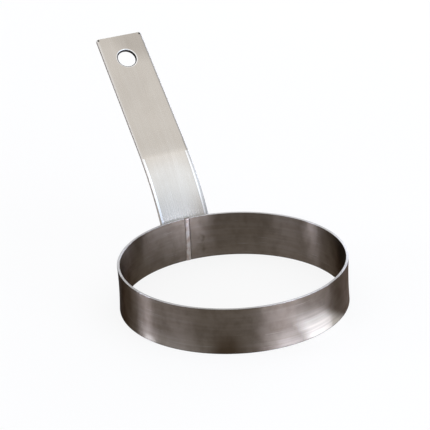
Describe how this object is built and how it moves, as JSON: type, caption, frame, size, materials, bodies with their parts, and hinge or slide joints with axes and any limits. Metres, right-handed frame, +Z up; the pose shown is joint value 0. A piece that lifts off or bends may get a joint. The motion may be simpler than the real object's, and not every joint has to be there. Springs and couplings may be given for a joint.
{
  "type": "egg ring",
  "caption": "Round open egg ring of brushed steel strip with an upright, backswept strap handle that ends in a hanging hole.",
  "frame": {"origin": "middle of the whole object's footprint on the surface it stands on, between the band's front and the handle's tip; the ring's own axis is 35.9 mm from it towards -Y", "axes": "+Z up, +Y from the ring towards the handle, +X to the right for someone who looks along +Y; the object is the same on both sides of x = 0"},
  "size_m": [0.1016, 0.1732, 0.0876],
  "materials": {
    "band_steel": "dark satin, brushed round the band, rubbed brighter in places on its lower edge",
    "strap_steel": "fine satin, brushed along the strap, burnished along both sides below the fold",
    "weld_steel": "fused metal, ground flush and slightly dull"
  },
  "bodies": {
    "root": {"ring_band": "band_steel", "ring_seam_weld": "weld_steel", "handle_strap": "strap_steel", "spot_weld_1": "weld_steel", "spot_weld_2": "weld_steel", "spot_weld_3": "weld_steel", "spot_weld_4": "weld_steel"}
  },
  "joints": []
}
